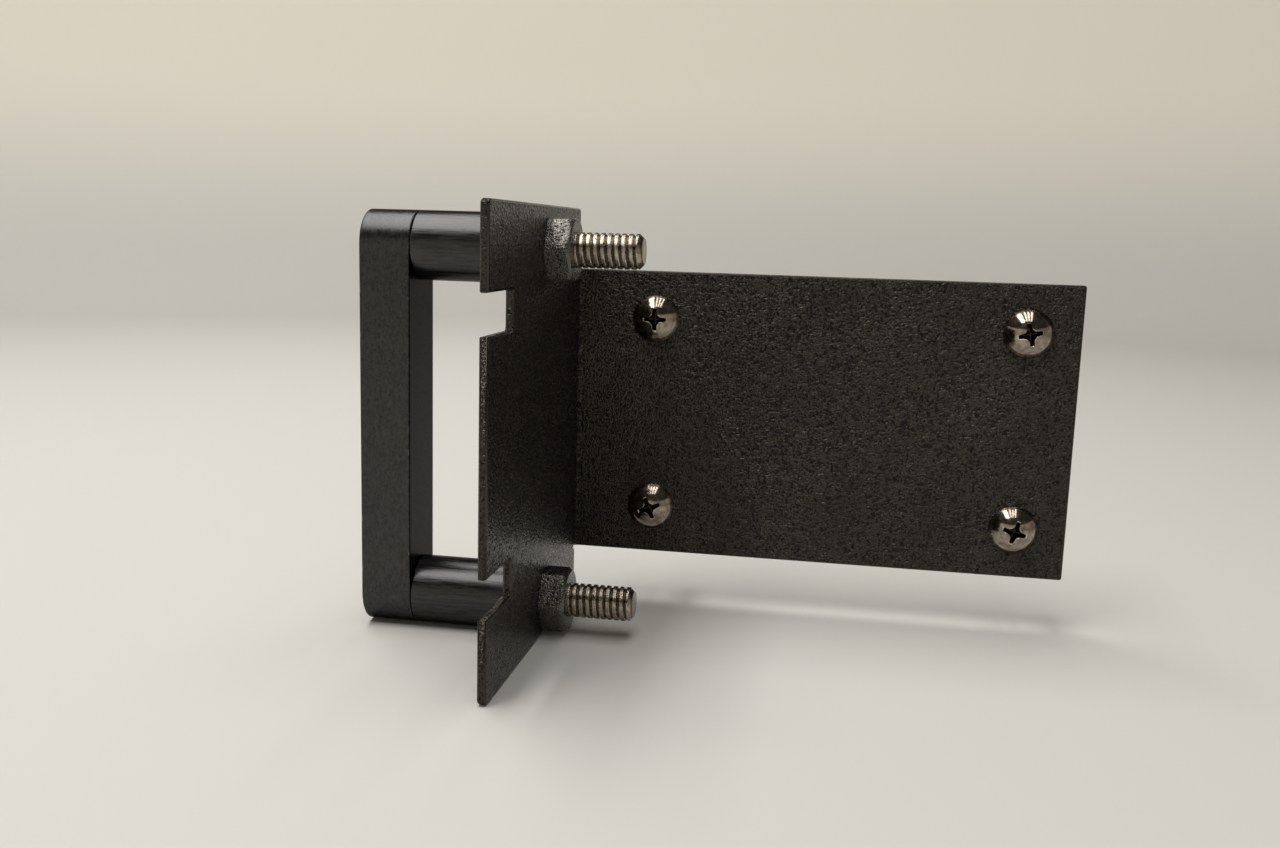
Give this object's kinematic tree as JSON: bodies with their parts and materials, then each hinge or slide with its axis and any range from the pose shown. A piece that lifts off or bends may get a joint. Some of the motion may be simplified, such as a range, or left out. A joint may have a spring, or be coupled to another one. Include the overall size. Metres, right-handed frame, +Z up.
{
  "type": "rack mount ear bracket",
  "caption": "Folded sheet-metal rack ear: a leg screwed to a chassis side, a flange with open rack notches, and a front pull handle tied on by long studs through weld nuts.",
  "frame": {"origin": "centre of the four-screw pattern, on the face of the leg that meets the chassis", "axes": "+X towards the rear of the chassis, +Y into the chassis, out of the face that meets it, +Z up"},
  "size_m": [0.1309, 0.0715, 0.0791],
  "materials": {
    "sheet": "fine wrinkle powder coat",
    "stud": "bright zinc with a bronze tint",
    "screw": "polished black nickel",
    "handle": "satin black anodised"
  },
  "bodies": {
    "root": {"ear_bracket": "sheet", "weld_nut_upper": "sheet", "weld_nut_lower": "sheet", "handle_stud_upper": "stud", "handle_stud_lower": "stud", "handle_bar": "handle", "handle_post_upper": "handle", "handle_post_lower": "handle", "screw_upper_front": "screw", "screw_upper_rear": "screw", "screw_lower_front": "screw", "screw_lower_rear": "screw"}
  },
  "joints": []
}
